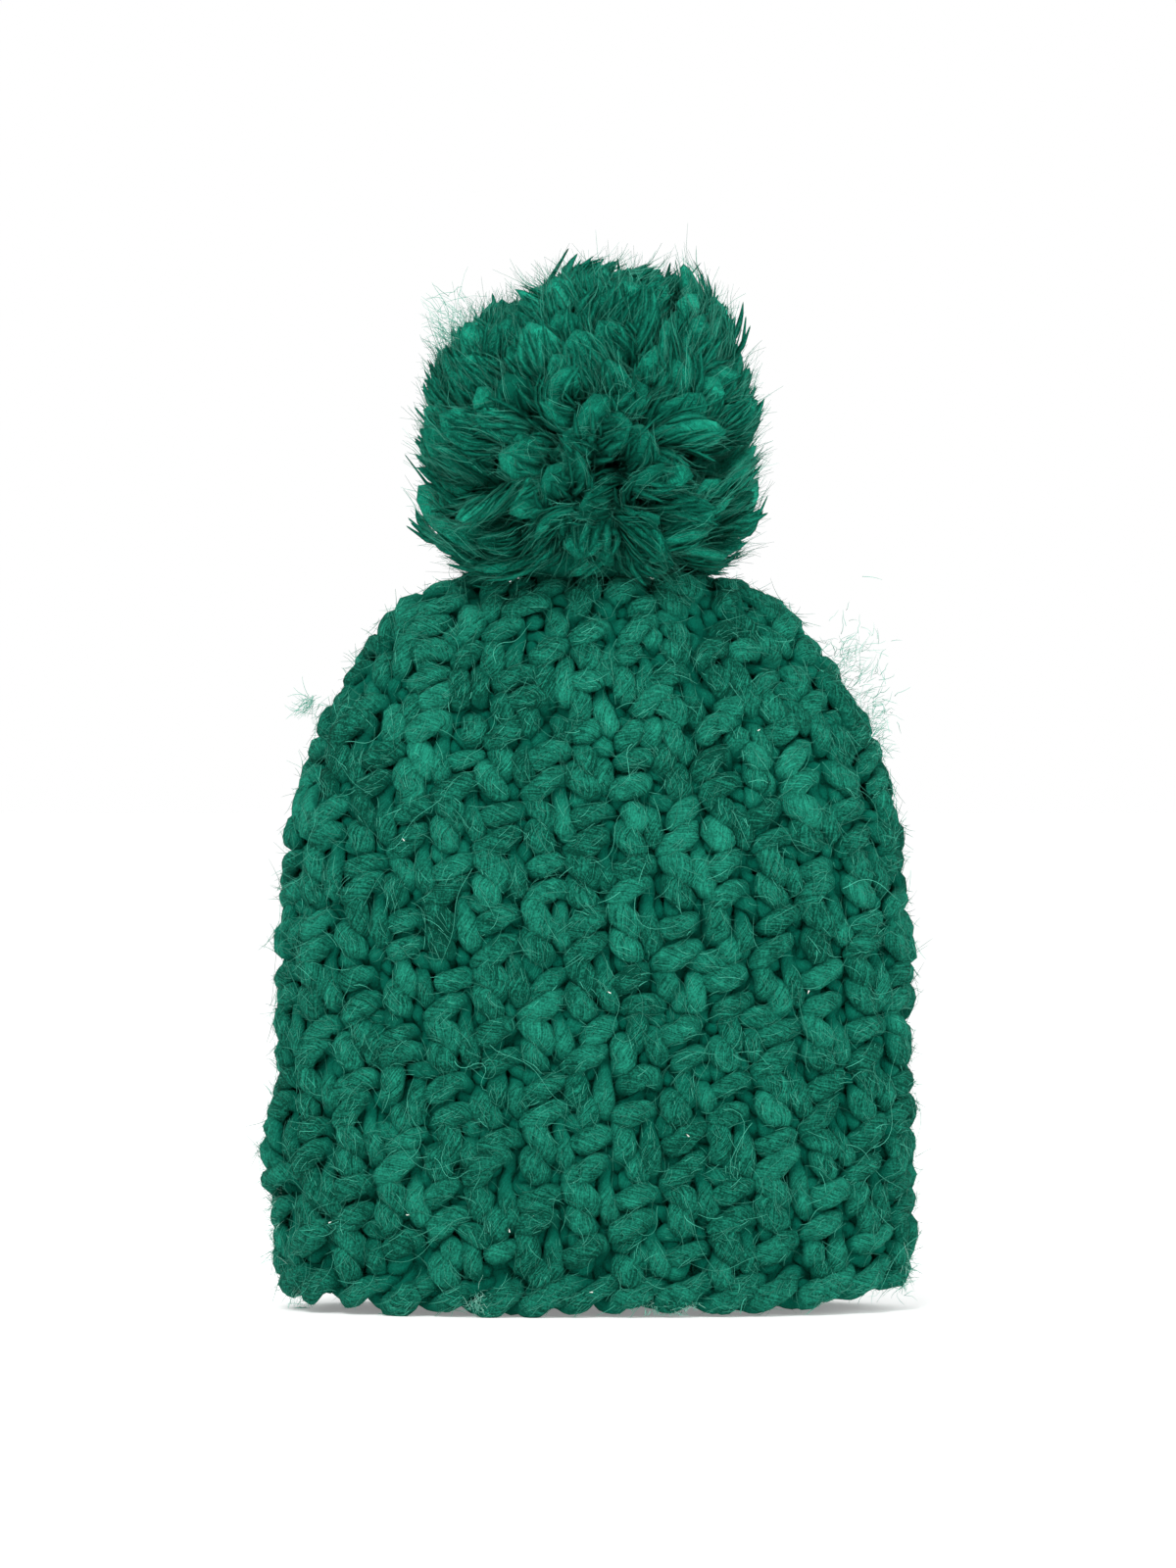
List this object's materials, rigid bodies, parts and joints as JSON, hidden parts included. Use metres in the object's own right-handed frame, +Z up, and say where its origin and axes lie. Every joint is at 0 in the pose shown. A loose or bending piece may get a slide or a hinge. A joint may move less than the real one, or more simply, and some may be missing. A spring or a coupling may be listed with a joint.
{
  "type": "pom pom beanie",
  "caption": "Chunky knitted beanie in thick single-ply wool, with a moss-stitch body, a gathered crown and a large yarn pom.",
  "frame": {"origin": "middle of the brim's underside, on which the hat stands", "axes": "+Z up through the gathered crown and the pom; +X along the hat's width, with the side seam at -X; the front faces -Y"},
  "size_m": [0.217, 0.114, 0.349],
  "materials": {
    "knit_wool": "matte",
    "plain_yarn": "matte",
    "pom_wool": "matte"
  },
  "bodies": {
    "hat": {"cast_on_edge": "knit_wool", "knit_body": "knit_wool", "crown": "knit_wool", "side_seam": "plain_yarn", "cast_on_tail": "plain_yarn", "crown_gather": "plain_yarn", "gather_tail": "plain_yarn"},
    "knot": {"tie_knot": "plain_yarn"},
    "cord": {"tie_cord": "plain_yarn"},
    "pom": {"pom": "pom_wool", "pom_wrap": "plain_yarn"}
  },
  "joints": [
    {"name": "pom_twist", "type": "hinge", "parent": "hat", "child": "knot", "pos_m": [0, 0, 0.229], "axis": [0, 0, 1], "range_deg": [-30, 30], "stiffness_Nm_per_rad": 0.02},
    {"name": "pom_sway", "type": "hinge", "parent": "knot", "child": "cord", "pos_m": [0, 0, 0.229], "axis": [0, 1, 0], "range_deg": [-8, 8], "stiffness_Nm_per_rad": 0.16},
    {"name": "pom_nod", "type": "hinge", "parent": "cord", "child": "pom", "pos_m": [0, 0, 0.251], "axis": [1, 0, 0], "range_deg": [-10, 10], "stiffness_Nm_per_rad": 0.12}
  ]
}
